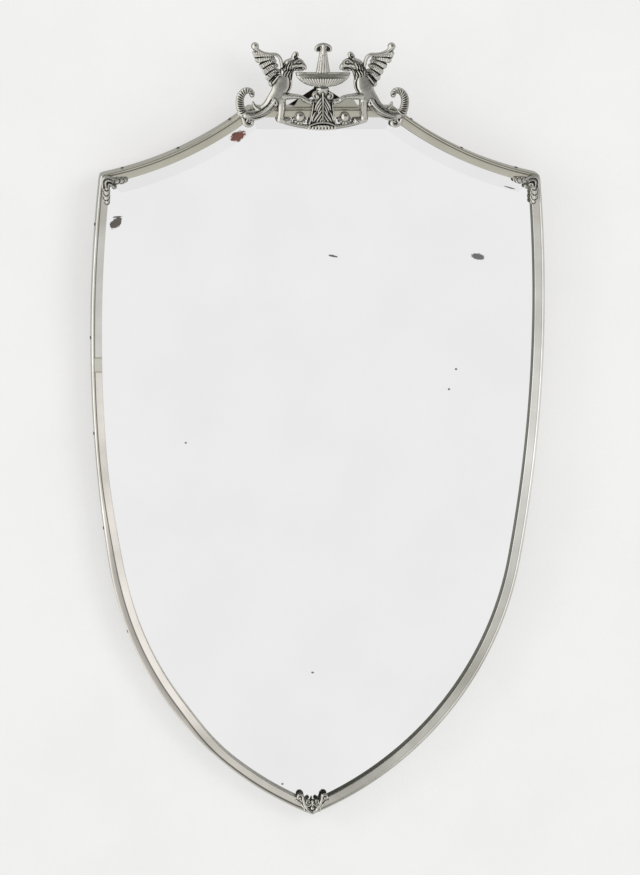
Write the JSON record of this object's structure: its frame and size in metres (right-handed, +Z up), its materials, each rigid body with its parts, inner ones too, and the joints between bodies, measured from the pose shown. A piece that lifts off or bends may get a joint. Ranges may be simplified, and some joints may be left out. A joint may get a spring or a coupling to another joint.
{
  "type": "wall mirror",
  "caption": "Shield-shaped wall mirror with a wide bevel in a pewter strip frame, a cast griffin and fountain crest, and a folding iron hanging loop behind.",
  "frame": {"origin": "centre of the nail eye of the hanging loop, on its mid plane", "axes": "+Z up; the front of the mirror faces -Y; +X to the viewer's right; the wall is on the +Y side"},
  "size_m": [0.5048, 0.0379, 0.8712],
  "materials": {
    "pewter_strip": "dull rolled pewter",
    "cast_pewter": "cast pewter, dark in the recesses",
    "silvered_glass": "silvered plate with a wide bevel",
    "board": "plain aged board",
    "batten_wood": "sawn softwood",
    "paper": "brown backing paper",
    "cork": "cork",
    "black_iron": "black iron",
    "steel_wire": "dull steel",
    "brass_screw": "tarnished brass"
  },
  "bodies": {
    "mirror": {"back_panel": "board", "batten_top": "batten_wood", "batten_left": "batten_wood", "batten_right": "batten_wood", "backing_paper": "paper", "mirror_glass": "silvered_glass", "cork_blocks": "cork", "packing_strips": "batten_wood", "top_bar": "pewter_strip", "shoulder_left": "pewter_strip", "shoulder_right": "pewter_strip", "side_left_upper": "pewter_strip", "side_left_lower": "pewter_strip", "side_right": "pewter_strip", "splice_patch": "pewter_strip", "frame_nails": "steel_wire", "panel_screws": "brass_screw", "corner_mount_left": "cast_pewter", "corner_mount_right": "cast_pewter", "foot_mount": "cast_pewter", "crest_stay": "pewter_strip", "crest_rail": "cast_pewter", "griffin_left": "cast_pewter", "griffin_right": "cast_pewter", "fountain_pedestal": "cast_pewter", "fountain_basin": "cast_pewter", "water_jet": "cast_pewter", "rosette_left": "cast_pewter", "rosette_right": "cast_pewter", "crest_rivets": "cast_pewter", "loop_keeper": "black_iron", "keeper_screws": "steel_wire"},
    "hanger": {"hanging_loop": "black_iron"}
  },
  "joints": [
    {"name": "hanger_swing", "type": "hinge", "parent": "mirror", "child": "hanger", "pos_m": [0, 0, -0.026], "axis": [-1, 0, 0], "range_deg": [0, 178]}
  ]
}
